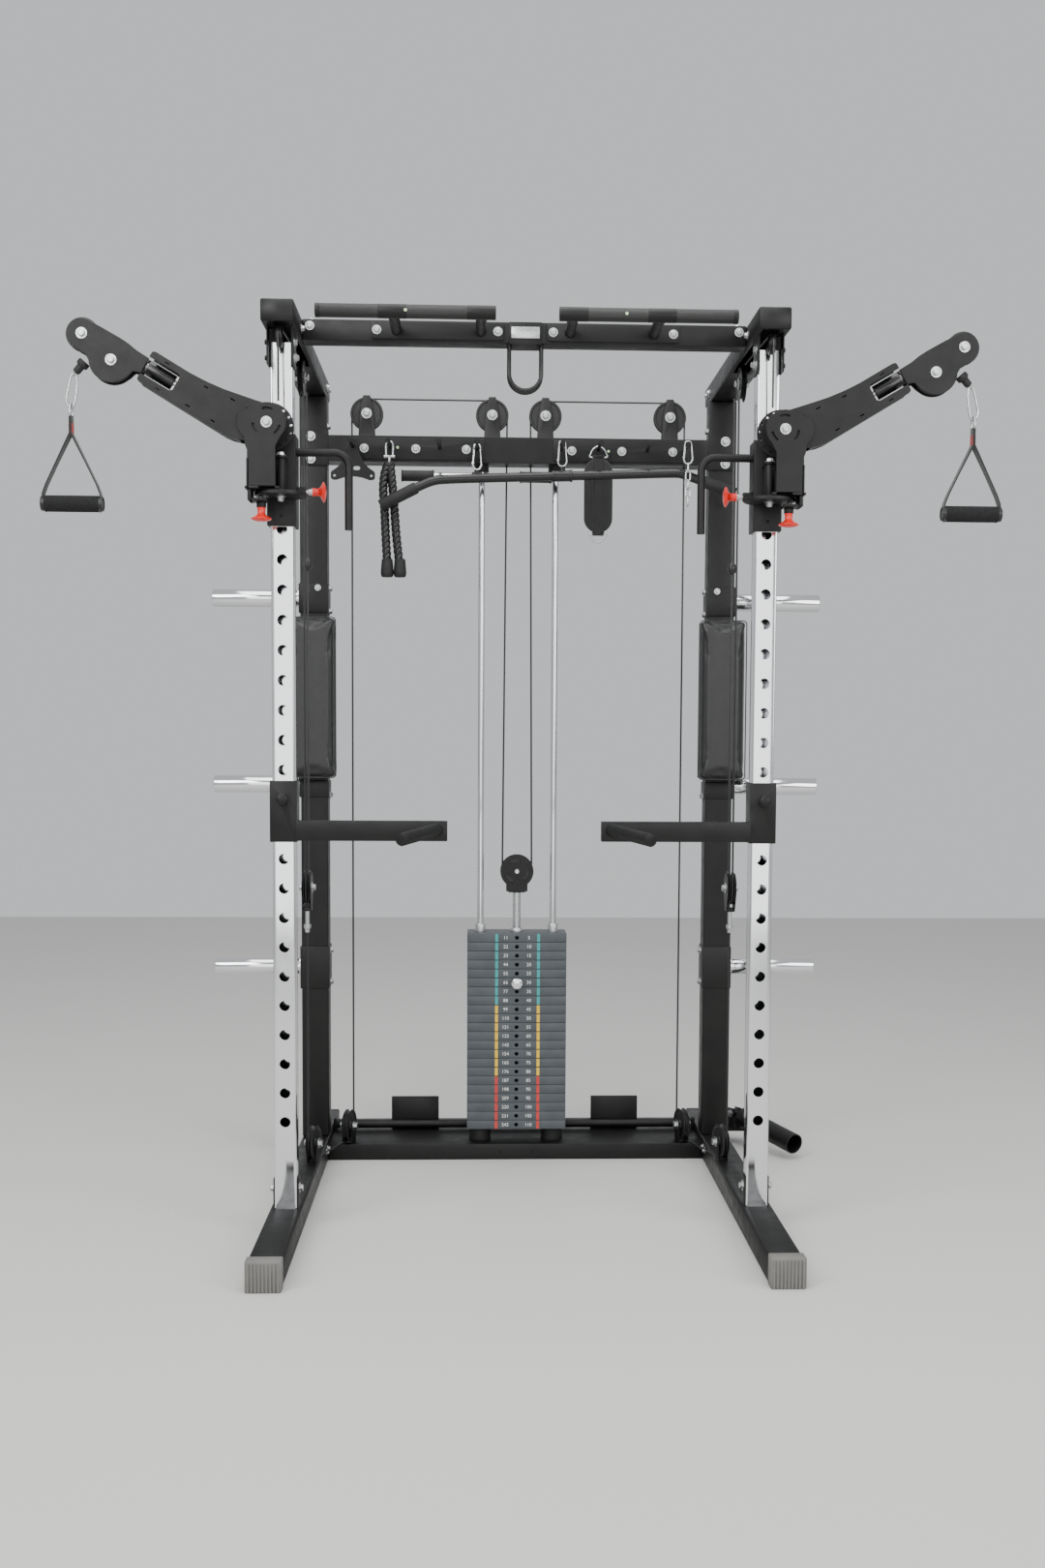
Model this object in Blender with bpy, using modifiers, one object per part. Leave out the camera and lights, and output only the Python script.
"""Functional trainer with one central weight stack and two swivelling, height-adjustable arms.

Metres, +Z up, the front of the machine faces -Y, origin on the floor at the middle of the footprint.
Each physical sub-part is one object; left and right are mirrored about X = 0.
"""
import bpy
import bmesh
from math import cos, pi, radians, sin
from mathutils import Matrix, Vector

GAP = 0.0003                # clearance left between neighbouring sub-parts
FRAME_X = 0.568             # middle plane of each side frame
RAIL_W, RAIL_H = 0.075, 0.062
RAIL_FRONT, RAIL_REAR = -0.745, 0.775
CAP_FRONT, CAP_REAR, CAP_W, CAP_H = -0.775, -0.735, 0.0785, 0.069
PLATFORM = (0.385, 0.720, 0.045)          # front Y, rear Y, top Z of the base crossmember
POST_W, POST_FRONT, POST_TOP = 0.053, -0.340, 2.0997
HOLE_PITCH, HOLE_R, HOLE_TOP_Z, HOLES = 0.070, 0.0125, 1.8135, 23
SIDE_HOLE_R, PIN_Z = 0.006, 1.763
COLUMN_FRONT, COLUMN_REAR = 0.4125, 0.4875
WALL = 0.003                              # wall of the steel tubes
TOP_Z, TOP_H, TOP_FRONT, TOP_REAR = 2.180, 0.050, -0.420, 0.520
BEAM_FRONT, BEAM_REAR = -0.235, -0.175    # top crossmember
HEADER_Z = (1.9515, 2.0225)               # rear crossmember
STACK_Y, STACK_Z, PLATE_T, PLATE_W, PLATE_D = 0.450, 0.085, 0.0254, 0.280, 0.110
PLATES, PICKED = 22, 6
ROD_X, ROD_R = 0.1029, 0.0095
STEM_R = 0.0110
PULLEY_R, GROOVE_R, CABLE_PATH_R, CABLE_R = 0.0455, 0.0355, 0.0415, 0.0025
TOP_PULLEY_X, TOP_PULLEY_Z = (0.4221, 0.0741), 2.087
STACK_PULLEY_Z = 0.816
BASE_PULLEYS = ((0.4738, 0.4098, 0.0945), (0.5458, 0.1272, 0.1120))
BASE_PULLEY_TURN = radians(14.3)
FLOAT = (0.556, 0.087, 0.800)
SIDE_PULLEY = (0.556, 0.004, 2.092)
NOSE_PULLEY = (0.568, -0.372, 2.107)
NOSE_R, NOSE_PATH_R, NOSE_CABLE_TOP = 0.0255, 0.0265, 2.096
LANDMINE_PIVOT, LANDMINE_MOUTH, LANDMINE_TURN = (0.655, 0.600, 0.085), (0.790, 0.360, 0.047), radians(29.4)
SWIVEL = (0.563, -0.400)                  # vertical axis of the yoke
ARM_PIVOT = (0.5885, 1.898)               # X, Z of the lift axis
ARM_RISE = radians(30.5)                  # slope of the arm at rest
ARM_V = -0.031                            # offset of the arm's own axis from the lift axis
INDEX_Z = (1.740, 1.748)
INDEX_R, INDEX_ANGLE = 0.04615, 22.95     # circle of index holes, and the one used at rest
PEG_R, PEG_END, PEG_Z = 0.024, 0.851, (1.5775, 1.060, 0.545)
PAD_Z, PAD_W, PAD_Y = (1.078, 1.5225), 0.135, (0.345, 0.4122)
HOOK_X, HOOK_Z, HOOK_TIP = (0.116, 0.219, 0.355, 0.457), 1.990, 0.290

BLACK = (0.030, 0.030, 0.028)
SLATE = (0.048, 0.054, 0.060)
CHROME = (0.78, 0.79, 0.80)
RED = (0.75, 0.03, 0.015)


def clear_scene():
    for obj in list(bpy.data.objects):
        bpy.data.objects.remove(obj)
    for col in list(bpy.data.collections):
        bpy.data.collections.remove(col)


def new_collection(name):
    col = bpy.data.collections.new(name)
    bpy.context.scene.collection.children.link(col)
    return col


clear_scene()
PARTS = new_collection("functional_trainer")
TOOLS = new_collection("cutters")
TOOLS.hide_render = True


# ---- solids in world coordinates, all closed meshes kept with the tools until a node takes them ----

def keep(mesh_name, bm):
    bmesh.ops.recalc_face_normals(bm, faces=bm.faces)
    if bm.calc_volume(signed=True) < 0:
        bmesh.ops.reverse_faces(bm, faces=bm.faces)
    mesh = bpy.data.meshes.new(mesh_name)
    bm.to_mesh(mesh)
    bm.free()
    obj = bpy.data.objects.new(mesh_name, mesh)
    obj.hide_render = True
    obj.display_type = "WIRE"
    TOOLS.objects.link(obj)
    return obj


def block(x, y, z, turn=0.0, about=(0, 0)):
    """A box between the two limits on each axis, turned about a vertical line."""
    x, y, z = sorted(x), sorted(y), sorted(z)
    size = (x[1] - x[0], y[1] - y[0], z[1] - z[0])
    mid = ((x[0] + x[1]) / 2, (y[0] + y[1]) / 2, (z[0] + z[1]) / 2)
    matrix = Matrix.Translation(mid) @ Matrix.Diagonal((*size, 1))
    if turn:
        at = Vector((*about, 0))
        matrix = Matrix.Translation(at) @ Matrix.Rotation(turn, 4, "Z") @ Matrix.Translation(-at) @ matrix
    bm = bmesh.new()
    bmesh.ops.create_cube(bm, size=1, matrix=matrix)
    return keep("block", bm)


def rod(start, end, radius, sides=12, radius_end=None):
    """A cylinder or cone from one point to another."""
    start, end = Vector(start), Vector(end)
    along = end - start
    matrix = Matrix.Translation((start + end) / 2) @ along.to_track_quat("Z", "Y").to_matrix().to_4x4()
    bm = bmesh.new()
    bmesh.ops.create_cone(bm, cap_ends=True, segments=sides, radius1=radius,
                          radius2=radius if radius_end is None else radius_end, depth=along.length,
                          matrix=matrix)
    return keep("rod", bm)


def turned(centre, axis, profile, sides=24):
    """A closed profile of (radius, height along the axis) turned a full circle."""
    bm = bmesh.new()
    rim = [bm.verts.new((r, 0, h)) for r, h in profile]
    edges = [bm.edges.new((rim[i], rim[(i + 1) % len(rim)])) for i in range(len(rim))]
    matrix = Matrix.Translation(centre) @ Vector(axis).to_track_quat("Z", "Y").to_matrix().to_4x4()
    bmesh.ops.spin(bm, geom=rim + edges, cent=(0, 0, 0), axis=(0, 0, 1), angle=2 * pi, steps=sides,
                   use_merge=True)
    bmesh.ops.remove_doubles(bm, verts=bm.verts, dist=1e-6)
    bmesh.ops.delete(bm, geom=[edge for edge in bm.edges if not edge.link_faces], context="EDGES")
    bm.transform(matrix)
    return keep("turned", bm)


def solid_of(curve):
    obj = bpy.data.objects.new("curve", curve)
    bpy.context.scene.collection.objects.link(obj)
    mesh = bpy.data.meshes.new_from_object(obj)
    bpy.data.objects.remove(obj)
    bm = bmesh.new()
    bm.from_mesh(mesh)
    bmesh.ops.remove_doubles(bm, verts=bm.verts, dist=1e-6)
    return bm


def bent(points, radius, resolution=2, closed=False):
    """A round bar or cable along straight pieces between the points."""
    curve = bpy.data.curves.new("path", "CURVE")
    curve.dimensions = "3D"
    curve.bevel_depth = radius
    curve.bevel_resolution = resolution
    curve.use_fill_caps = not closed
    spline = curve.splines.new("POLY")
    spline.points.add(len(points) - 1)
    for point, co in zip(spline.points, points):
        point.co = (*co, 1)
    spline.use_cyclic_u = closed
    return keep("bent", solid_of(curve))


def sheet(outline, thickness, matrix, holes=()):
    """A flat plate from an outline in its own XY plane, centred on that plane, placed by a matrix."""
    curve = bpy.data.curves.new("outline", "CURVE")
    curve.dimensions = "2D"
    curve.fill_mode = "BOTH"
    curve.extrude = thickness / 2
    for loop in (outline, *holes):
        spline = curve.splines.new("POLY")
        spline.points.add(len(loop) - 1)
        for point, (x, y) in zip(spline.points, loop):
            point.co = (x, y, 0, 1)
        spline.use_cyclic_u = True
    bm = solid_of(curve)
    bm.transform(matrix)
    return keep("sheet", bm)


def ring(centre, radius, start=0.0, end=2 * pi, steps=20, squeeze=1.0):
    """Points on an arc in a plane, both ends included unless it is a full circle."""
    count = steps if end - start >= 2 * pi - 1e-6 else steps + 1
    return [(centre[0] + radius * cos(start + (end - start) * i / steps),
             centre[1] + squeeze * radius * sin(start + (end - start) * i / steps)) for i in range(count)]


def facing_front(y):
    """Places a flat XY outline upright: its x along X, its y along Z, at this Y."""
    return Matrix.Translation((0, y, 0)) @ Matrix.Rotation(pi / 2, 4, "X")


# ---- nodes ----

def colour(obj, rgb, rough, metal):
    material = bpy.data.materials.new(obj.name + "_finish")
    material.use_nodes = True
    shader = material.node_tree.nodes["Principled BSDF"]
    shader.inputs["Base Color"].default_value = (*rgb, 1)
    shader.inputs["Roughness"].default_value = rough
    shader.inputs["Metallic"].default_value = metal
    material.diffuse_color = (*rgb, 1)
    obj.data.materials.clear()
    obj.data.materials.append(material)


def node(name, first, add=(), cut=(), then=(), origin=(0, 0, 0), rgb=BLACK, rough=0.6, metal=0.0,
         bevel=0.0):
    """One sub-part: the first solid, the solids joined to it, the ones cut away, then more joined."""
    TOOLS.objects.unlink(first)
    PARTS.objects.link(first)
    first.name = name
    first.hide_render = False
    first.display_type = "TEXTURED"
    origin = Vector(origin)
    first.data.transform(Matrix.Translation(-origin))
    first.location = origin
    if bevel:
        edge = first.modifiers.new("edges", "BEVEL")
        edge.width, edge.segments, edge.limit_method = bevel, 1, "ANGLE"
    for operation, group in (("UNION", add), ("DIFFERENCE", cut), ("UNION", then)):
        for tool in group:
            tool.name = name + "_" + operation.lower()
            step = first.modifiers.new(operation.lower(), "BOOLEAN")
            step.operation, step.solver, step.object = operation, "EXACT", tool
    colour(first, rgb, rough, metal)
    return first


def side_name(base, s):
    return base + ("_right" if s > 0 else "_left")


def span(s, a, b):
    return sorted((s * a, s * b))


def base_rail(s):
    x = span(s, FRAME_X - RAIL_W / 2, FRAME_X + RAIL_W / 2)
    rail = block(x, (RAIL_FRONT, RAIL_REAR), (0, RAIL_H))
    ears = [block(span(s, FRAME_X + side * (POST_W / 2 + GAP), FRAME_X + side * (POST_W / 2 + 0.0035)),
                  (-0.334, -0.293), (RAIL_H - 0.004, 0.135)) for side in (-1, 1)]
    px, py, pz = BASE_PULLEYS[1]
    fork = [block((s * px - s * off - 0.0012, s * px - s * off + 0.0012), (py - 0.018, py + 0.018),
                  (RAIL_H - 0.004, pz + 0.012), s * BASE_PULLEY_TURN, (s * px, py))
            for off in (-0.0135, 0.0135)]
    axle = Vector((cos(BASE_PULLEY_TURN), sin(BASE_PULLEY_TURN), 0)) * 0.0155
    axle.x *= s
    pin = rod(Vector((s * px, py, pz)) - axle, Vector((s * px, py, pz)) + axle, 0.005, 10)
    parts = ears + fork + [pin]
    if s > 0:
        px, py, pz = LANDMINE_PIVOT
        for off in (-0.0125, 0.0125):
            parts.append(block((px + off - 0.002, px + off + 0.002), (py - 0.014, py + 0.014), (0.042, 0.100),
                               LANDMINE_TURN, (px, py)))
        parts.append(block((0.6040, 0.6900), (0.5700, 0.6350), (0.036, 0.044)))
        reach = Vector((cos(LANDMINE_TURN), sin(LANDMINE_TURN), 0)) * 0.0165
        parts.append(rod(Vector(LANDMINE_PIVOT) - reach, Vector(LANDMINE_PIVOT) + reach, 0.005, 10))
    hollow = block(span(s, FRAME_X - RAIL_W / 2 + WALL, FRAME_X + RAIL_W / 2 - WALL),
                   (RAIL_FRONT - 0.01, RAIL_REAR - WALL), (WALL, RAIL_H - WALL))
    node(side_name("base_rail", s), rail, parts, cut=[hollow], rough=0.65, bevel=0.003)


def foot_cap(s):
    x = span(s, FRAME_X - CAP_W / 2, FRAME_X + CAP_W / 2)
    cap = block(x, (CAP_FRONT, CAP_REAR), (0, CAP_H))
    seat = block(span(s, FRAME_X - RAIL_W / 2 - GAP, FRAME_X + RAIL_W / 2 + GAP),
                 (RAIL_FRONT - GAP, CAP_REAR + 0.01), (-0.01, RAIL_H + GAP))
    node(side_name("front_foot_cap", s), cap, cut=[seat], rgb=(0.15, 0.15, 0.14), rough=0.8, bevel=0.002)


def base_crossmember():
    reach = FRAME_X - RAIL_W / 2 - GAP
    front, rear, top = PLATFORM
    deck = block((-reach, reach), (front, rear), (0, top))
    hollow = block((-reach - 0.01, reach + 0.01), (front + 0.004, rear - 0.004), (-0.01, top - 0.004))
    parts = [rod((-reach + 0.001, 0.575, 0.061), (reach - 0.001, 0.575, 0.061), 0.012, 14)]
    for s in (-1, 1):
        parts.append(block(span(s, reach - 0.010, reach - 0.0005), (0.555, 0.595), (top - 0.002, 0.080)))
        parts.append(block(span(s, 0.224, 0.362), (0.5855, 0.5915), (top - 0.002, 0.140)))
        parts.append(rod((s * ROD_X, STACK_Y, top - 0.001), (s * ROD_X, STACK_Y, STACK_Z - GAP), 0.030, 14))
        px, py, pz = BASE_PULLEYS[0]
        for off in (-0.0135, 0.0135):
            parts.append(block((s * px + off - 0.0012, s * px + off + 0.0012), (py - 0.018, py + 0.018),
                               (top - 0.002, pz + 0.012), s * BASE_PULLEY_TURN, (s * px, py)))
        axle = Vector((s * cos(BASE_PULLEY_TURN), sin(BASE_PULLEY_TURN), 0)) * 0.0155
        parts.append(rod(Vector((s * px, py, pz)) - axle, Vector((s * px, py, pz)) + axle, 0.005, 10))
    bores = [rod((s * ROD_X, STACK_Y, top), (s * ROD_X, STACK_Y, 0.1), ROD_R + GAP, 12) for s in (-1, 1)]
    bolts = [rod((x, front - 0.01, 0.0225), (x, front + 0.012, 0.0225), 0.004, 8) for x in (-0.045, 0.045)]
    node("base_crossmember", deck, cut=[hollow] + bolts, then=parts, rough=0.65)
    deck_node = bpy.data.objects["base_crossmember"]
    for tool in bores:
        tool.name = "base_crossmember_bore"
        step = deck_node.modifiers.new("bore", "BOOLEAN")
        step.operation, step.solver, step.object = "DIFFERENCE", "EXACT", tool


def front_upright(s):
    x = span(s, FRAME_X - POST_W / 2, FRAME_X + POST_W / 2)
    post = block(x, (POST_FRONT, POST_FRONT + POST_W), (RAIL_H + GAP, POST_TOP))
    cuts = [rod((s * FRAME_X, POST_FRONT - 0.01, HOLE_TOP_Z - HOLE_PITCH * i),
                (s * FRAME_X, POST_FRONT + 0.018, HOLE_TOP_Z - HOLE_PITCH * i), HOLE_R, 6)
            for i in range(HOLES)]
    inner = FRAME_X - POST_W / 2
    cuts += [rod((s * (inner - 0.01), POST_FRONT + POST_W / 2, PIN_Z + HOLE_PITCH * k),
                 (s * (inner + 0.012), POST_FRONT + POST_W / 2, PIN_Z + HOLE_PITCH * k), SIDE_HOLE_R, 6)
             for k in range(-8, 3)]
    hollow = block(span(s, FRAME_X - POST_W / 2 + WALL, FRAME_X + POST_W / 2 - WALL),
                   (POST_FRONT + WALL, POST_FRONT + POST_W - WALL), (0, POST_TOP + 0.01))
    node(side_name("front_upright", s), post, cut=[hollow, joined(cuts)], rgb=CHROME, rough=0.12, metal=1.0)


def joined(tools):
    """Separate solids that don't meet, put together as one tool."""
    bm = bmesh.new()
    for tool in tools:
        bm.from_mesh(tool.data)
        bpy.data.objects.remove(tool)
    return keep("joined", bm)


def rear_upright(s):
    x = span(s, FRAME_X - RAIL_W / 2, FRAME_X + RAIL_W / 2)
    column = block(x, (COLUMN_FRONT, COLUMN_REAR), (RAIL_H + GAP, TOP_Z - TOP_H - GAP))
    parts = []
    mid = (COLUMN_FRONT + COLUMN_REAR) / 2
    for z, half in zip(PEG_Z, ((0.042, 0.040), (0.036, 0.012), (0.060, 0.060))):
        parts.append(block(span(s, FRAME_X - 0.0405, FRAME_X + 0.0415), (COLUMN_FRONT - 0.004, COLUMN_REAR + 0.004),
                           (z - half[0], z + half[1])))
        parts.append(rod((s * (FRAME_X + 0.030), mid, z), (s * PEG_END, mid, z), PEG_R, 16))
    hollow = block(span(s, FRAME_X - RAIL_W / 2 + WALL, FRAME_X + RAIL_W / 2 - WALL),
                   (COLUMN_FRONT + WALL, COLUMN_REAR - WALL), (0, TOP_Z))
    node(side_name("rear_upright", s), column, parts, cut=[hollow], rough=0.6, bevel=0.003)


def top_rail(s):
    x = span(s, FRAME_X - RAIL_W / 2, FRAME_X + RAIL_W / 2)
    rail = block(x, (TOP_FRONT, TOP_REAR), (TOP_Z - TOP_H, TOP_Z))
    under = TOP_Z - TOP_H
    sleeve = block(span(s, FRAME_X - 0.030, FRAME_X + 0.030), (-0.344, -0.283), (POST_TOP + GAP, under + 0.002))
    cheeks = [block(span(s, FRAME_X + side * (POST_W / 2 + GAP), FRAME_X + side * (POST_W / 2 + 0.0035)),
                    (-0.372, -0.296), (2.045, under + 0.002)) for side in (-1, 1)]
    slot = block(span(s, 0.541, 0.581), (-0.412, 0.056), (POST_TOP - 0.001, 2.143))
    hollow = block(span(s, FRAME_X - RAIL_W / 2 + WALL, FRAME_X + RAIL_W / 2 - WALL),
                   (TOP_FRONT + WALL, TOP_REAR - WALL), (under + WALL, TOP_Z - WALL))
    node(side_name("top_rail", s), rail, [sleeve] + cheeks, cut=[hollow, slot], rough=0.6, bevel=0.003)


def top_crossmember():
    reach = FRAME_X - RAIL_W / 2 - GAP
    under = TOP_Z - TOP_H
    beam = block((-reach, reach), (BEAM_FRONT, BEAM_REAR), (under, TOP_Z))
    parts = [block((-0.039, 0.039), (BEAM_FRONT - 0.003, BEAM_REAR + 0.003), (under - 0.003, TOP_Z))]
    for y in (-0.222, -0.190):
        arc = ring((0, 2.018 + 0.0385 + 0.005), 0.0385, pi, 2 * pi, 12)
        path = [(-0.0385, y, under + 0.004)] + [(px, y, pz) for px, pz in arc] + [(0.0385, y, under + 0.004)]
        parts.append(bent(path, 0.005, 1))
    hollow = block((-reach - 0.01, reach + 0.01), (BEAM_FRONT + WALL, BEAM_REAR - WALL),
                   (under + WALL, TOP_Z - WALL))
    node("top_crossmember", beam, parts, cut=[hollow], rough=0.6)


def pullup_bar(s):
    z, y = TOP_Z - TOP_H / 2, -0.420
    face = BEAM_FRONT - 0.003 - GAP
    bar = rod((s * 0.072, y, z), (s * 0.482, y, z), 0.0158, 14)
    parts = [block(span(s, 0.0525, 0.3665), (face - 0.006, BEAM_FRONT - GAP), (z - 0.020, z + 0.020))]
    parts += [rod((s * x, face - 0.002, z), (s * x, y + 0.004, z), 0.0130, 10) for x in (0.1055, 0.3065)]
    node(side_name("pullup_bar", s), bar, parts, rough=0.5, origin=(s * 0.277, y, z))


def rear_crossmember():
    reach = FRAME_X - RAIL_W / 2 - GAP
    low, high = HEADER_Z
    front = COLUMN_FRONT - 0.0025
    beam = block((-reach, reach), (front, COLUMN_REAR), (low, high))
    cuts, parts = [], []
    for s in (-1, 1):
        parts.append(block(span(s, reach - 0.004, 0.6000), (COLUMN_FRONT - 0.0043, COLUMN_FRONT - GAP),
                           (low - 0.012, high + 0.012)))
        parts.append(block(span(s, 0.095, 0.474), (front - 0.0035, front + 0.001), (low + 0.006, high - 0.006)))
        for x in HOOK_X:
            parts.append(rod((s * x, front - 0.002, HOOK_Z), (s * x, HOOK_TIP, HOOK_Z), 0.0045, 6))
        for x in TOP_PULLEY_X:
            for off in (-1, 1):
                y = STACK_Y + off * 0.013
                outline = [(s * x - 0.023, high - 0.002), (s * x + 0.023, high - 0.002),
                           (s * x + 0.020, 2.090), (s * x + 0.0095, 2.1365), (s * x - 0.0095, 2.1365),
                           (s * x - 0.020, 2.090)]
                parts.append(sheet(outline, 0.003, facing_front(y)))
            parts.append(block((s * x - 0.0095, s * x + 0.0095), (STACK_Y - 0.0143, STACK_Y + 0.0143),
                               (2.1335, 2.1365)))
            parts.append(rod((s * x, STACK_Y - 0.019, TOP_PULLEY_Z), (s * x, STACK_Y + 0.019, TOP_PULLEY_Z),
                             0.006, 8))
        for x in (TOP_PULLEY_X[0] + CABLE_PATH_R, TOP_PULLEY_X[1] - CABLE_PATH_R):
            cuts.append(rod((s * x, STACK_Y, low - 0.01), (s * x, STACK_Y, high + 0.01), 0.006, 10))
        parts.append(rod((s * ROD_X, STACK_Y, low + 0.002), (s * ROD_X, STACK_Y, low - 0.020), 0.020, 12))
    bores = [rod((s * ROD_X, STACK_Y, low - 0.03), (s * ROD_X, STACK_Y, low - 0.004), ROD_R + GAP, 12)
             for s in (-1, 1)]
    hollow = block((-0.61, 0.61), (front + WALL, COLUMN_REAR - WALL), (low + WALL, high - WALL))
    node("rear_crossmember", beam, parts, cut=[hollow, joined(cuts), joined(bores)], rough=0.6)


def guide_rod(s):
    bar = rod((s * ROD_X, STACK_Y, PLATFORM[2] + GAP), (s * ROD_X, STACK_Y, HEADER_Z[0] - 0.004 - GAP),
              ROD_R, 12)
    node(side_name("guide_rod", s), bar, rgb=CHROME, rough=0.1, metal=1.0)


def plate_pile(name, low, count, collar):
    """Plates resting on each other, cut apart by a groove all round, with rod and stem holes."""
    x = (-PLATE_W / 2, PLATE_W / 2)
    y = (STACK_Y - PLATE_D / 2, STACK_Y + PLATE_D / 2)
    pile = block(x, y, (low, low + count * PLATE_T))
    grooves = []
    for i in range(1, count):
        z = low + i * PLATE_T
        for side in (-1, 1):
            edge = STACK_Y + side * PLATE_D / 2
            grooves.append(block((x[0] - 0.01, x[1] + 0.01), (edge - side * 0.0025, edge + side * 0.01),
                                 (z - 0.0012, z + 0.0012)))
    holes = [rod((s * ROD_X, STACK_Y, low - 0.01), (s * ROD_X, STACK_Y, low + count * PLATE_T + 0.03),
                 ROD_R + 0.0008, 12) for s in (-1, 1)]
    holes.append(rod((0, STACK_Y, low - 0.01), (0, STACK_Y, low + count * PLATE_T + 0.01), STEM_R + 0.0008, 12))
    for i in range(count):
        z = low + (i + 0.5) * PLATE_T
        holes.append(rod((0, y[0] - 0.01, z), (0, STACK_Y - 0.002, z), 0.0056, 6))
    add = []
    if collar:
        top = low + count * PLATE_T
        add = [rod((s * ROD_X, STACK_Y, top - 0.001), (s * ROD_X, STACK_Y, top + 0.022), 0.015, 12)
               for s in (-1, 1)]
    # the rod and pin holes cross the stem hole, so they are cut one after the other
    node(name, pile, add, cut=[joined(grooves), holes[2], joined(holes[:2]), joined(holes[3:])],
         rgb=SLATE, rough=0.55, origin=(0, STACK_Y, low))


def weight_stack():
    resting = PLATES - PICKED
    plate_pile("resting_plates", STACK_Z, resting, False)
    plate_pile("selected_plates", STACK_Z + resting * PLATE_T + GAP, PICKED, True)


def selector():
    top = STACK_Z + PLATES * PLATE_T + GAP
    pin_z = STACK_Z + (PLATES - PICKED + 0.5) * PLATE_T + GAP
    stem = rod((0, STACK_Y, STACK_Z + 0.004), (0, STACK_Y, 0.762), STEM_R, 12)
    parts = [rod((0, STACK_Y, top + GAP), (0, STACK_Y, top + 0.010), 0.018, 12)]
    for off in (-1, 1):
        outline = ring((0, STACK_PULLEY_Z), 0.047, radians(-50), radians(230), 12)
        outline += [(-0.030, 0.759), (0.030, 0.759)]
        parts.append(sheet(outline, 0.003, facing_front(STACK_Y + off * 0.0150)))
    parts.append(block((-0.024, 0.024), (STACK_Y - 0.0160, STACK_Y + 0.0160), (0.756, 0.764)))
    parts.append(rod((0, STACK_Y - 0.022, STACK_PULLEY_Z), (0, STACK_Y + 0.022, STACK_PULLEY_Z), 0.006, 12))
    hole = rod((0, STACK_Y - 0.03, pin_z), (0, STACK_Y + 0.008, pin_z), 0.0050, 8)
    node("selector_stem", stem, parts, cut=[hole], rgb=(0.05, 0.05, 0.05), rough=0.4,
         origin=(0, STACK_Y, STACK_Z))
    grip = turned((0, STACK_Y - PLATE_D / 2 - 0.001, pin_z), (0, -1, 0),
                  [(0.0, -0.060), (0.0044, -0.060), (0.0044, 0.0), (0.0105, 0.0), (0.0105, 0.004),
                   (0.0165, 0.010), (0.0165, 0.022), (0.012, 0.026), (0.0, 0.026)], 12)
    node("selector_pin", grip, rgb=CHROME, rough=0.15, metal=1.0,
         origin=(0, STACK_Y - PLATE_D / 2, pin_z))


def pulley(name, centre, axis, bore=0.0065, outer=PULLEY_R, groove=GROOVE_R, half=0.0085):
    """A grooved wheel with a hub on each side."""
    profile = [(bore, -half - 0.0015), (0.014, -half - 0.0015), (outer, -half), (groove, 0.0), (outer, half),
               (0.014, half + 0.0015), (bore, half + 0.0015)]
    wheel = turned(centre, axis, profile, 16)
    node(name, wheel, origin=centre, rough=0.45)


def pulleys():
    for s in (-1, 1):
        for label, x in zip(("outer", "inner"), TOP_PULLEY_X):
            pulley("top_pulley_%s_%s" % (label, "right" if s > 0 else "left"),
                   (s * x, STACK_Y, TOP_PULLEY_Z), (0, 1, 0))
        for label, (x, y, z) in zip(("inner", "outer"), BASE_PULLEYS):
            pulley("base_pulley_%s_%s" % (label, "right" if s > 0 else "left"), (s * x, y, z),
                   (cos(BASE_PULLEY_TURN), s * sin(BASE_PULLEY_TURN), 0), bore=0.0055)
    pulley("stack_pulley", (0, STACK_Y, STACK_PULLEY_Z), (0, 1, 0))


def arc_in(centre, across, radius, start, end, steps=5):
    """Points round a pulley; 0 degrees is along 'across', 90 degrees is up."""
    across = Vector(across).normalized()
    return [Vector(centre) + across * radius * cos(radians(start + (end - start) * i / steps))
            + Vector((0, 0, radius * sin(radians(start + (end - start) * i / steps)))) for i in range(steps + 1)]


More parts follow.
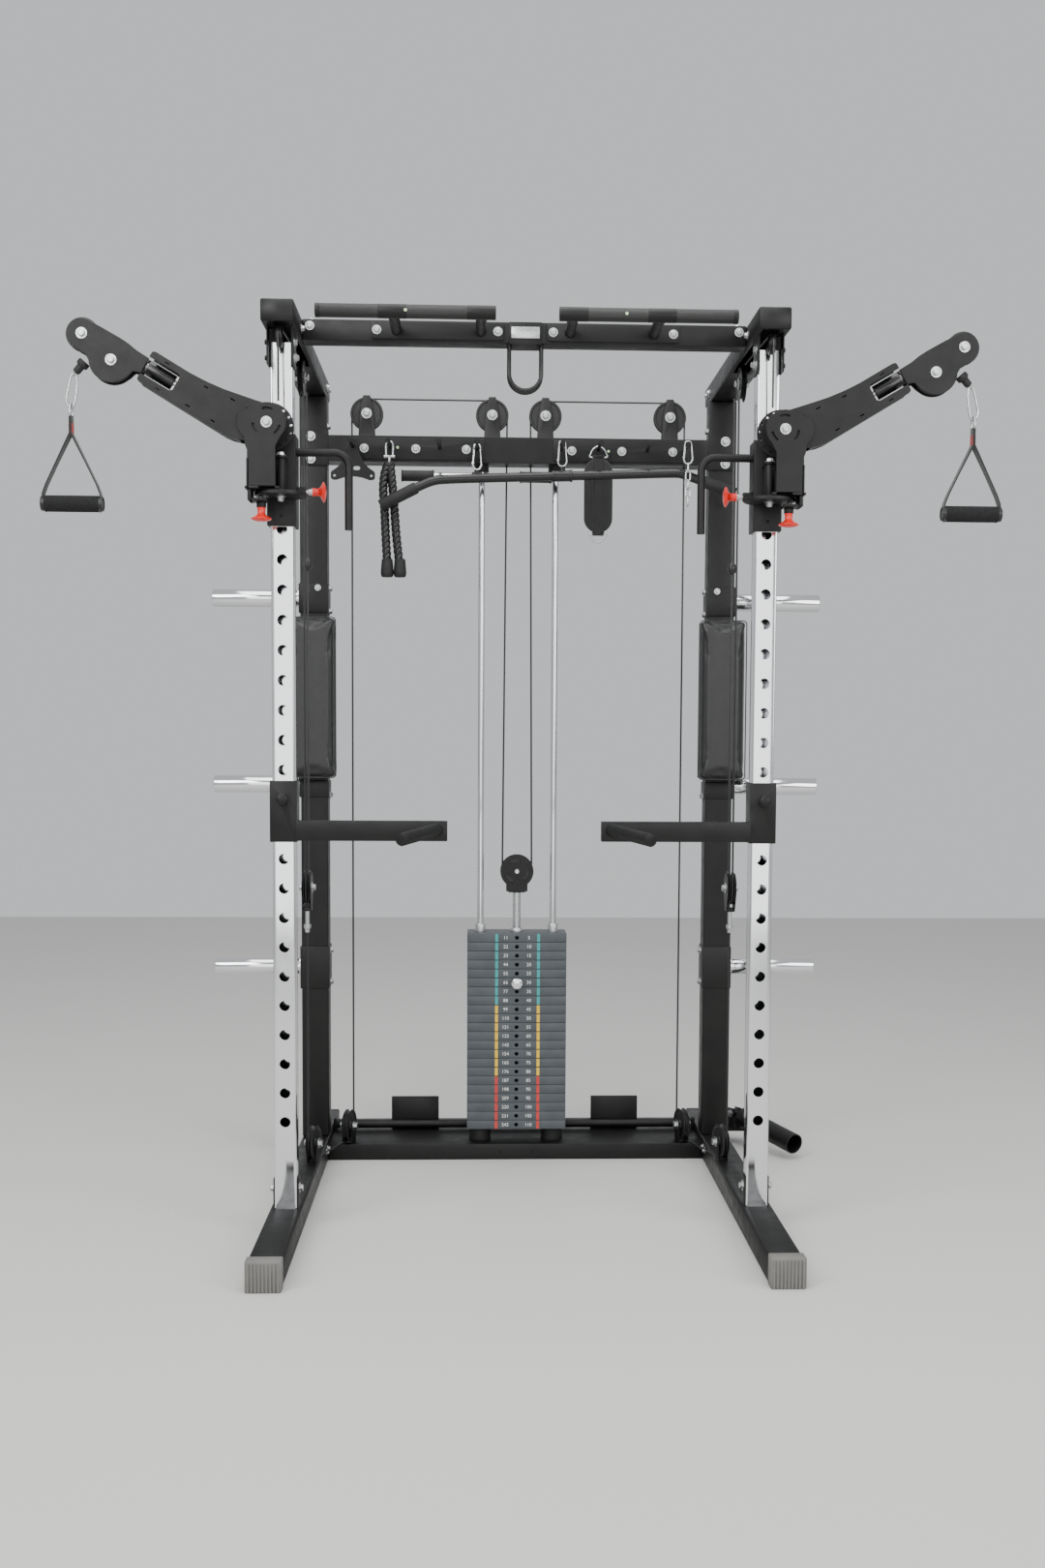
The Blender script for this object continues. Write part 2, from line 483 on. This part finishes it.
def side_cable(s):
    """The stack cable from above the stack to the floating block, and the arm cable up to the nose pulley."""
    out = (s, 0, 0)
    inner = (s * TOP_PULLEY_X[1], STACK_Y, TOP_PULLEY_Z)
    outer = (s * TOP_PULLEY_X[0], STACK_Y, TOP_PULLEY_Z)
    path = [Vector((s * (TOP_PULLEY_X[1] - CABLE_PATH_R), STACK_Y, TOP_PULLEY_Z + GAP))]
    path += arc_in(inner, out, CABLE_PATH_R, 168, 90)
    path += arc_in(outer, out, CABLE_PATH_R, 90, 0)
    away = Vector((s * sin(BASE_PULLEY_TURN), -cos(BASE_PULLEY_TURN), 0))
    first = (s * BASE_PULLEYS[0][0], BASE_PULLEYS[0][1], BASE_PULLEYS[0][2])
    second = (s * BASE_PULLEYS[1][0], BASE_PULLEYS[1][1], BASE_PULLEYS[1][2])
    path += arc_in(first, away, CABLE_PATH_R, 180, 270)
    path += arc_in(second, away, CABLE_PATH_R, 270, 360)
    path.append(Vector((s * FLOAT[0], FLOAT[1], FLOAT[2] - 0.110)))
    lower = bent(path, CABLE_R, 1)
    block_xyz = (s * FLOAT[0], FLOAT[1], FLOAT[2])
    wheel = [(0.0, -0.007), (0.0468, -0.007), (0.0468, 0.007), (0.0, 0.007)]
    float_wheel = turned(block_xyz, (1, 0, 0), wheel, 12)
    stem = rod((s * FLOAT[0], FLOAT[1], FLOAT[2] - 0.020), (s * FLOAT[0], FLOAT[1], FLOAT[2] - 0.118), 0.008, 10)
    side = (s * SIDE_PULLEY[0], SIDE_PULLEY[1], SIDE_PULLEY[2])
    nose = (s * NOSE_PULLEY[0], NOSE_PULLEY[1], NOSE_PULLEY[2])
    up = [Vector((s * FLOAT[0], FLOAT[1] + CABLE_PATH_R, 2.080))]
    up += arc_in(block_xyz, (0, -1, 0), CABLE_PATH_R, 180, 360)
    up += arc_in(side, (0, -1, 0), CABLE_PATH_R, 180, 90)
    up += arc_in(nose, (0, -1, 0), NOSE_PATH_R, 90, 0)
    up.append(Vector((nose[0], nose[1] - NOSE_PATH_R, NOSE_CABLE_TOP)))
    upper = bent(up, CABLE_R, 1)
    side_wheel = turned(side, (1, 0, 0), wheel, 12)
    nose_wheel = turned(nose, (1, 0, 0), [(0.0, -0.006), (NOSE_R, -0.006), (NOSE_R, 0.006),
                                          (0.0, 0.006)], 12)
    stopper = turned((s * FLOAT[0], FLOAT[1] + CABLE_PATH_R, 1.640), (0, 0, 1),
                     [(0.0, -0.016), (0.008, -0.014), (0.0125, 0.0), (0.008, 0.014), (0.0, 0.016)], 10)
    node(side_name("cable", s), lower, [stem, float_wheel, upper, side_wheel, nose_wheel, stopper], rough=0.5)


def nose_cable(s):
    """The part of the arm cable in front of the upright; it lengthens as the carriage goes down."""
    x, y = s * NOSE_PULLEY[0], NOSE_PULLEY[1] - NOSE_PATH_R
    wire = rod((x, y, 1.956), (x, y, NOSE_CABLE_TOP - GAP), CABLE_R, 8)
    node(side_name("arm_cable", s), wire, rough=0.5, origin=(x, y, NOSE_CABLE_TOP - GAP))


def stack_cable():
    """The loop that carries the stack pulley."""
    left = (-(TOP_PULLEY_X[1] - CABLE_PATH_R), STACK_Y, TOP_PULLEY_Z - GAP)
    path = [Vector(left)]
    path += arc_in((0, STACK_Y, STACK_PULLEY_Z), (1, 0, 0), CABLE_PATH_R, 180, 360, 10)
    path.append(Vector((-left[0], left[1], left[2])))
    node("stack_cable", bent(path, CABLE_R, 1), rough=0.5, origin=(0, STACK_Y, TOP_PULLEY_Z - GAP))


def arm_pad(s):
    pad = block(span(s, FRAME_X - PAD_W / 2, FRAME_X + PAD_W / 2), (PAD_Y[0], PAD_Y[1]), PAD_Z)
    node(side_name("arm_pad", s), pad, rgb=(0.02, 0.02, 0.02), rough=0.45, bevel=0.010)
    bpy.data.objects[side_name("arm_pad", s)].modifiers["edges"].segments = 3


def dip_arm(s):
    z = (0.944, 1.088)
    y = (POST_FRONT - 0.007, POST_FRONT + POST_W + 0.006)
    sleeve = block(span(s, FRAME_X - 0.0315, FRAME_X + 0.0315), y, z)
    bore = block(span(s, FRAME_X - POST_W / 2 - GAP, FRAME_X + POST_W / 2 + GAP),
                 (POST_FRONT - GAP, POST_FRONT + POST_W + GAP), (z[0] - 0.01, z[1] + 0.01))
    arm = block(span(s, 0.1825, FRAME_X - 0.030), (POST_FRONT - 0.022, POST_FRONT + 0.014), (0.948, 0.995))
    grip = rod((s * 0.205, POST_FRONT - 0.015, 0.976), (s * 0.282, POST_FRONT - 0.200, 0.962), 0.0155, 12)
    knob = turned((s * FRAME_X, POST_FRONT - 0.006, 1.045), (0, -1, 0),
                  [(0.0, -0.020), (0.0085, -0.020), (0.0085, 0.006), (0.008, 0.020), (0.0155, 0.022),
                   (0.0155, 0.034), (0.012, 0.038), (0.0, 0.038)], 14)
    node(side_name("dip_arm", s), sleeve, [arm, grip], cut=[bore], then=[knob], rough=0.6,
         origin=(s * FRAME_X, POST_FRONT, 1.045))


def carriage(s):
    cx, cy = s * SWIVEL[0], SWIVEL[1]
    front = POST_FRONT - 0.010
    sleeve = block(span(s, FRAME_X - 0.0335, FRAME_X + 0.0335), (front, POST_FRONT + POST_W + 0.010), (1.680, 1.891))
    bore = block(span(s, FRAME_X - POST_W / 2 - GAP, FRAME_X + POST_W / 2 + GAP),
                 (POST_FRONT - GAP, POST_FRONT + POST_W + GAP), (1.66, 1.91))
    index = rod((cx, cy, INDEX_Z[0]), (cx, cy, INDEX_Z[1]), 0.060, 24)
    back = block(span(s, 0.45, 0.70), (front + 0.004, 0.0), (1.70, 1.78))
    holes = [rod((cx + s * INDEX_R * cos(radians(a)), cy - INDEX_R * sin(radians(a)), 1.73),
                 (cx + s * INDEX_R * cos(radians(a)), cy - INDEX_R * sin(radians(a)), 1.76), 0.0054, 8)
             for a in (INDEX_ANGLE, INDEX_ANGLE + 30, INDEX_ANGLE + 60, INDEX_ANGLE + 90)]
    plate = keep_difference(index, [back])
    lug = rod((cx, cy, 1.826), (cx, cy, 1.832), 0.0155, 12)
    web = block((cx - 0.010, cx + 0.010), (cy, front + 0.003), (1.826, 1.832))
    bolt = rod((cx, cy, 1.728), (cx, cy, 1.838), 0.0060, 10)
    barrel = rod((s * (FRAME_X - 0.031), POST_FRONT + POST_W / 2, PIN_Z),
                 (s * 0.514, POST_FRONT + POST_W / 2, PIN_Z), 0.011, 12)
    barrel_bore = rod((s * 0.50, POST_FRONT + POST_W / 2, PIN_Z), (s * 0.545, POST_FRONT + POST_W / 2, PIN_Z),
                      0.0056, 10)
    y = POST_FRONT + 0.020
    arc = ring((s * 0.4475, 1.820), 0.033, pi / 2, pi if s > 0 else 0.0, 6)
    path = [(s * 0.538, y, 1.853), (s * 0.500, y, 1.853)] + [(px, y, pz) for px, pz in arc]
    path.append((s * 0.4145, y, 1.675))
    grab = bent(path, 0.0095, 1)
    small = rod((s * FRAME_X, front - 0.01, 1.702), (s * FRAME_X, front + 0.005, 1.702), 0.004, 8)
    node(side_name("carriage", s), sleeve, [plate, lug, web, bolt, barrel, grab],
         cut=[bore, barrel_bore, joined(holes), small], rough=0.6, origin=(s * FRAME_X, POST_FRONT + POST_W / 2, 1.785))


def keep_difference(solid, cutters):
    """A solid with pieces cut away, worked out now so that it can be joined to another."""
    for cutter in cutters:
        step = solid.modifiers.new("cut", "BOOLEAN")
        step.operation, step.solver, step.object = "DIFFERENCE", "EXACT", cutter
    bpy.context.view_layer.update()
    mesh = bpy.data.meshes.new_from_object(solid.evaluated_get(bpy.context.evaluated_depsgraph_get()))
    solid.modifiers.clear()
    solid.data = mesh
    for cutter in cutters:
        bpy.data.objects.remove(cutter)
    return solid


def yoke(s):
    px, pz = ARM_PIVOT
    cx, cy = SWIVEL
    front_outline = (ring((0, 0), 0.044, radians(60), radians(235), 10)
                     + [(-0.0195, -0.060), (-0.0195, -0.142), (0.0440, -0.142), (0.0440, -0.062),
                        (0.0640, -0.028), (0.0670, 0.004), (0.0560, 0.024)])
    rear_outline = (ring((0, 0), 0.055, radians(-30), radians(250), 12)
                    + [(-0.007, -0.052), (-0.007, -0.148), (0.0440, -0.148), (0.0440, -0.036)])
    place = Matrix.Translation((s * px, 0, pz)) @ Matrix.Diagonal((s, 1, 1, 1))
    front = sheet(front_outline, 0.006, place @ facing_front(-0.453))
    rear = sheet(rear_outline, 0.006, place @ facing_front(-0.3925))
    floor = block(span(s, px - 0.0195, px + 0.0500), (-0.456, -0.3895), (INDEX_Z[1] + 0.0020, INDEX_Z[1] + 0.0080))
    web = block(span(s, px + 0.0400, px + 0.0460), (-0.456, -0.3895), (INDEX_Z[1] + 0.002, 1.818))
    drop = block(span(s, cx + 0.0620, cx + 0.0700), (-0.450, -0.392), (1.725, INDEX_Z[1] + 0.006))
    tab = block(span(s, 0.590, cx + 0.0700), (-0.445, -0.395), (1.725, 1.731))
    barrel = rod((s * 0.6055, -0.418, 1.712), (s * 0.6055, -0.418, 1.727), 0.011, 12)
    sleeve = rod((s * cx, cy, INDEX_Z[1] + GAP), (s * cx, cy, 1.826 - GAP), 0.0120, 12)
    link = block(span(s, cx + 0.002, px + 0.010), (cy - 0.006, -0.3895), (INDEX_Z[1] + 0.0020, 1.815))
    arch = block(span(s, cx - 0.002, px + 0.020), (-0.456, cy + 0.004), (INDEX_Z[1] + 0.0020, INDEX_Z[1] + 0.0080))
    bore = rod((s * cx, cy, 1.74), (s * cx, cy, 1.84), 0.0066, 10)
    pin_bore = rod((s * 0.6055, -0.418, 1.70), (s * 0.6055, -0.418, 1.765), 0.0052, 10)
    axle = rod((s * px, -0.462, pz), (s * px, -0.386, pz), 0.0060, 8)
    head = rod((s * px, -0.464, pz), (s * px, -0.455, pz), 0.0105, 8)
    node(side_name("yoke", s), front, [rear, floor, web, drop, tab, barrel, sleeve, link, arch],
         cut=[bore, pin_bore], then=[axle, head], rough=0.6, origin=(s * cx, cy, 1.785))


def arm_place(s):
    """The arm's own frame: x along the arm, y across it, turned up by its rest slope."""
    px, pz = ARM_PIVOT
    return (Matrix.Translation((s * px, 0, pz)) @ Matrix.Diagonal((s, 1, 1, 1))
            @ Matrix.Rotation(-ARM_RISE, 4, "Y"))


def arm_point(s, u, y, v):
    return arm_place(s) @ Vector((u, y, v))


def arm(s):
    outline = (ring((0, 0), 0.040, radians(80), radians(215), 7)
               + [(-0.010, -0.040), (0.030, -0.066), (0.070, -0.0735), (0.288, -0.0705), (0.2965, -0.064),
                  (0.2965, -0.052), (0.224, -0.052), (0.216, -0.046), (0.216, -0.016), (0.224, -0.010),
                  (0.2965, -0.010), (0.2965, 0.000), (0.288, 0.0065), (0.200, 0.0060), (0.120, 0.0140),
                  (0.060, 0.0260)])
    place = arm_place(s)
    plates = [sheet(outline, 0.005, place @ facing_front(y)) for y in (-0.4470, -0.3988)]
    lower_outline = [(0.032, -0.0655), (0.070, -0.0728), (0.286, -0.0698), (0.286, -0.0655), (0.070, -0.0685),
                     (0.034, -0.0610)]
    lower = sheet(lower_outline, 0.046, place @ facing_front(-0.4229))
    upper_outline = [(0.062, 0.0245), (0.121, 0.0130), (0.200, 0.0052), (0.286, 0.0057), (0.286, 0.0015),
                     (0.198, 0.0010), (0.117, 0.0085), (0.060, 0.0200)]
    upper = sheet(upper_outline, 0.046, place @ facing_front(-0.4229))
    end = rod(arm_point(s, 0.212, -0.4229, ARM_V), arm_point(s, 0.292, -0.4229, ARM_V), 0.0170, 12)
    bridge = sheet([(0.204, -0.0690), (0.2145, -0.0690), (0.2145, 0.0030), (0.204, 0.0030)], 0.047,
                   place @ facing_front(-0.4229))
    boss = rod(arm_point(s, 0.0, -0.4495, 0.0), arm_point(s, 0.0, -0.3963, 0.0), 0.0130, 10)
    bore = rod(arm_point(s, 0.0, -0.48, 0.0), arm_point(s, 0.0, -0.37, 0.0), 0.0072, 8)
    twist = rod(arm_point(s, 0.2170, -0.4229, ARM_V), arm_point(s, 0.32, -0.4229, ARM_V), 0.0112, 10)
    node(side_name("arm", s), plates[0], [plates[1], lower, upper, bridge, end, boss],
         cut=[bore, twist], rough=0.6, origin=(s * ARM_PIVOT[0], -0.4229, ARM_PIVOT[1]))


def arm_head(s):
    tip, second = (0.4534, -0.0431), (0.3686, -0.0599)
    neck = [(0.2975, -0.050), (0.2975, -0.013), (0.345, -0.008)]
    outline = (neck + ring(tip, 0.033, radians(95), radians(-80), 8)
               + [(0.430, -0.0800)] + ring(second, 0.050, radians(-28), radians(-150), 8) + [(0.322, -0.052)])
    place = arm_place(s)
    plates = [sheet(outline, 0.004, place @ facing_front(y)) for y in (-0.4390, -0.4068)]
    spindle = rod(arm_point(s, 0.2175, -0.4229, ARM_V), arm_point(s, 0.302, -0.4229, ARM_V), 0.0100, 10)
    plug = rod(arm_point(s, 0.2975, -0.4229, ARM_V), arm_point(s, 0.318, -0.4229, ARM_V), 0.0165, 10)
    bolts, wheels = [], []
    for (u, v), r in ((tip, 0.036), (second, 0.040)):
        bolts.append(rod(arm_point(s, u, -0.4460, v), arm_point(s, u, -0.4000, v), 0.0090, 8))
        wheels.append(rod(arm_point(s, u, -0.4330, v), arm_point(s, u, -0.4128, v), r, 12))
    node(side_name("arm_head", s), plates[0], [plates[1], spindle, plug] + wheels + bolts, rough=0.55,
         origin=arm_point(s, 0.2565, -0.4229, ARM_V))


def handle(s):
    """Cable stopper, snap hook, strap and foam grip, hanging from the arm tip."""
    y = -0.4229
    start = Vector((s * 0.9970, y, 2.0325))
    lead = Vector((s * 0.66, 0, -0.75)).normalized()
    cord = rod(start - lead * 0.006, start + lead * 0.036, 0.0030, 8)
    ball = turned(start + lead * 0.0115, lead, [(0.0, -0.010), (0.0140, -0.010), (0.0120, 0.012),
                                                (0.0072, 0.016), (0.0070, 0.022), (0.0, 0.022)], 8)
    hook = bent([(s * 1.0200, y, 2.006), (s * 1.0300, y, 1.997), (s * 1.0410, y, 1.950), (s * 1.0350, y, 1.931),
                 (s * 1.0250, y, 1.933), (s * 1.0165, y, 1.990)], 0.0035, 1, closed=True)
    ring_bar = bent([(s * 1.030, y - 0.010, 1.929), (s * 1.030, y, 1.935), (s * 1.030, y + 0.010, 1.929),
                     (s * 1.030, y + 0.009, 1.908), (s * 1.030, y - 0.009, 1.908)], 0.0028, 1, closed=True)
    web = block(span(s, 1.0250, 1.0360), (y - 0.014, y + 0.014), (1.862, 1.9165))
    legs = []
    for side in (-1, 1):
        edge = 1.0305 + side * 0.064
        legs.append(sheet([(s * 1.0275, 1.870), (s * 1.0335, 1.870), (s * (edge + 0.002), 1.730),
                           (s * (edge + 0.002), 1.700), (s * (edge - 0.002), 1.700),
                           (s * (edge - 0.002), 1.728)], 0.025, facing_front(y)))
    grip = rod((s * 0.9605, y, 1.715), (s * 1.1005, y, 1.715), 0.0185, 12)
    node(side_name("handle", s), grip, legs + [web, ring_bar, hook, cord, ball], rough=0.7,
         origin=(s * 0.9970, y, 2.0325))


def slide_pin(s):
    y = POST_FRONT + POST_W / 2
    knob = turned((s * 0.549, y, PIN_Z), (-s, 0, 0),
                  [(0.0, 0.0080), (0.0045, 0.009), (0.0050, 0.012), (0.0050, 0.040), (0.0080, 0.040),
                   (0.0080, 0.048), (0.0095, 0.050), (0.0085, 0.066), (0.0180, 0.072), (0.0240, 0.0755),
                   (0.0170, 0.0800), (0.0, 0.0820)], 12)
    node(side_name("slide_pin", s), knob, rgb=RED, rough=0.3, origin=(s * 0.549, y, PIN_Z))


def swivel_pin(s):
    knob = turned((s * 0.6055, -0.418, 1.7465), (0, 0, -1),
                  [(0.0, 0.0070), (0.0042, 0.0075), (0.0045, 0.0095), (0.0045, 0.0350), (0.0080, 0.0350),
                   (0.0080, 0.0400), (0.0095, 0.0420), (0.0085, 0.0520), (0.0180, 0.0575), (0.0240, 0.0605),
                   (0.0170, 0.0645), (0.0, 0.0660)], 12)
    node(side_name("swivel_pin", s), knob, rgb=RED, rough=0.3, origin=(s * 0.6055, -0.418, 1.7465))


def landmine():
    pivot, mouth = Vector(LANDMINE_PIVOT), Vector(LANDMINE_MOUTH)
    along = (mouth - pivot).normalized()
    across = Vector((cos(LANDMINE_TURN), sin(LANDMINE_TURN), 0))
    tube = rod(pivot + along * 0.040, mouth, 0.0290, 14)
    bore = rod(pivot + along * 0.060, mouth + along * 0.01, 0.0255, 14)
    lug = rod(pivot, pivot + along * 0.050, 0.0085, 12)
    eye = rod(pivot - across * 0.0095, pivot + across * 0.0095, 0.013, 10)
    hole = rod(pivot - across * 0.02, pivot + across * 0.02, 0.0054, 10)
    node("landmine", tube, [lug, eye], cut=[bore, hole], rough=0.6, origin=pivot)


def clip(x, y, low, top=HOOK_Z + 0.0045, wire=0.0030, half=0.0115):
    """A snap hook hanging on a peg: a pear-shaped loop of bar, narrow end up."""
    top += wire + GAP
    points = [(x - 0.0085, y, top - 0.005), (x - 0.0045, y, top), (x + 0.0045, y, top), (x + 0.0085, y, top - 0.005),
              (x + half, y, low + 0.012), (x + half * 0.6, y, low + 0.002), (x, y, low),
              (x - half * 0.6, y, low + 0.002), (x - half, y, low + 0.012)]
    return bent(points, wire, 1, closed=True)


def hung_items():
    """Accessories on the hooks of the rear crossmember; each hangs from its own peg."""
    # double-grip row handle: a slotted triangular plate
    x, y = -HOOK_X[3], 0.392
    plate = sheet([(x - 0.010, 2.010), (x + 0.010, 2.010), (x + 0.018, 1.975), (x + 0.036, 1.935), (x + 0.060, 1.921),
                   (x + 0.060, 1.898), (x + 0.046, 1.896), (x, 1.912), (x - 0.046, 1.896), (x - 0.060, 1.898),
                   (x - 0.060, 1.921), (x - 0.036, 1.935), (x - 0.018, 1.975)], 0.006, facing_front(y),
                  holes=[ring((x, 1.9905), 0.0062, steps=12)[::-1],
                         [(x - 0.016, 1.938), (x - 0.016, 1.926), (x - 0.003, 1.926), (x - 0.003, 1.938)],
                         [(x + 0.003, 1.938), (x + 0.003, 1.926), (x + 0.016, 1.926), (x + 0.016, 1.938)]])
    node("row_handle", plate, rough=0.6, origin=(x, y, HOOK_Z))

    # rope: shackle, ring, two hanging strands with moulded ends
    x, y = -HOOK_X[2], 0.357
    shackle = bent([(x - 0.009, y, 1.955), (x - 0.009, y, 1.990), (x - 0.0065, y, 1.9965), (x, y, 1.9985),
                    (x + 0.0065, y, 1.9965), (x + 0.009, y, 1.990), (x + 0.009, y, 1.955)], 0.0035, 1)
    collar = block((x - 0.013, x + 0.013), (y - 0.010, y + 0.010), (1.936, 1.957))
    strands = [bent([(x + a * 0.002, y, 1.940), (x + a * 0.010 - 0.006, y, 1.900),
                     (x + a * 0.0125 + 0.002, y, 1.800), (x + a * 0.0165 + 0.010, y, 1.670)], 0.0120, 1)
               for a in (-1, 1)]
    ends = [turned((x + a * 0.0175 + 0.011, y, 1.660), (0, 0, -1),
                   [(0.0, -0.020), (0.0145, -0.018), (0.0165, 0.0), (0.0180, 0.018), (0.0150, 0.028), (0.0, 0.030)],
                   10) for a in (-1, 1)]
    node("tricep_rope", collar, [shackle] + strands + ends, rough=0.6, origin=(x, y, HOOK_Z))

    # straight bar with two grips on a swivel
    x, y = -HOOK_X[0], 0.392
    bar = rod((x - 0.208, y, 1.911), (x + 0.205, y, 1.911), 0.0095, 10)
    grips = [rod((x - 0.210, y, 1.911), (x - 0.118, y, 1.911), 0.0150, 10),
             rod((x + 0.118, y, 1.911), (x + 0.207, y, 1.911), 0.0150, 10)]
    eye = rod((x, y, 1.914), (x, y, 1.934), 0.0080, 12)
    node("straight_bar", bar, grips + [eye, clip(x, y, 1.930)], rgb=CHROME, rough=0.25, metal=0.8,
         origin=(x, y, HOOK_Z))

    # long lat bar, bent down at both ends
    x, y = HOOK_X[0], 0.322
    path = [(-0.360, y, 1.828), (-0.262, y, 1.878), (-0.236, y, 1.888), (-0.205, y, 1.893), (0.425, y, 1.9165),
            (0.448, y, 1.9135), (0.560, y, 1.874)]
    lat = bent(path, 0.0125, 1)
    grips = [rod((-0.379, y, 1.8185), (-0.280, y, 1.869), 0.0160, 10),
             rod((0.592, y, 1.863), (0.490, y, 1.899), 0.0160, 10)]
    eye = rod((x, y, 1.905), (x, y, 1.934), 0.0080, 12)
    node("lat_bar", lat, grips + [eye, clip(x, y, 1.930)], rgb=(0.04, 0.04, 0.04), rough=0.3,
         origin=(x, y, HOOK_Z))

    # ankle strap: padded band with a ring at each end
    x, y = HOOK_X[1], 0.385
    band = sheet(ring((x, 1.925), 0.0405, 0.0, pi, 6, 0.85) + ring((x, 1.800), 0.0405, pi, 2 * pi, 6, 1.0),
                 0.009, facing_front(y))
    loops = [block((x - 0.018, x + 0.018), (y - 0.007, y + 0.007), (1.952, 1.972)),
             block((x - 0.016, x + 0.016), (y - 0.007, y + 0.007), (1.752, 1.765)),
             bent([(x - 0.023, y, 1.967), (x - 0.021, y, 1.981), (x - 0.010, y, 1.994), (x, y, 1.9980),
                   (x + 0.010, y, 1.994), (x + 0.021, y, 1.981), (x + 0.023, y, 1.967)], 0.0028, 0, closed=True),
             bent([(x - 0.021, y, 1.757), (x - 0.019, y, 1.745), (x - 0.008, y, 1.735), (x + 0.008, y, 1.735),
                   (x + 0.019, y, 1.745), (x + 0.021, y, 1.757)], 0.0028, 0, closed=True)]
    node("ankle_strap", band, loops, rgb=(0.02, 0.02, 0.02), rough=0.8, origin=(x, y, HOOK_Z))

    # short chain on a snap hook
    x, y = HOOK_X[3], 0.300
    hook = clip(x, y, 1.938)
    links, z = [], 1.941
    half, tall = 0.0058, 0.0265
    for i in range(5):
        outline = [(0, 0), (half, -0.006), (half, -tall + 0.006), (0, -tall), (-half, -tall + 0.006), (-half, -0.006)]
        points = [(x, y + a, z + h) if i % 2 == 0 else (x + a, y, z + h) for a, h in outline]
        links.append(bent(points, 0.0026, 0, closed=True))
        z -= tall - 0.0030
    node("chain", hook, links, rgb=CHROME, rough=0.3, metal=1.0, origin=(x, y, HOOK_Z))


def build():
    for s in (-1, 1):
        base_rail(s)
        foot_cap(s)
        front_upright(s)
        rear_upright(s)
        top_rail(s)
        pullup_bar(s)
        guide_rod(s)
        arm_pad(s)
        dip_arm(s)
        carriage(s)
        yoke(s)
        arm(s)
        arm_head(s)
        handle(s)
        slide_pin(s)
        swivel_pin(s)
        side_cable(s)
        nose_cable(s)
    base_crossmember()
    top_crossmember()
    rear_crossmember()
    weight_stack()
    selector()
    pulleys()
    stack_cable()
    landmine()
    hung_items()


build()
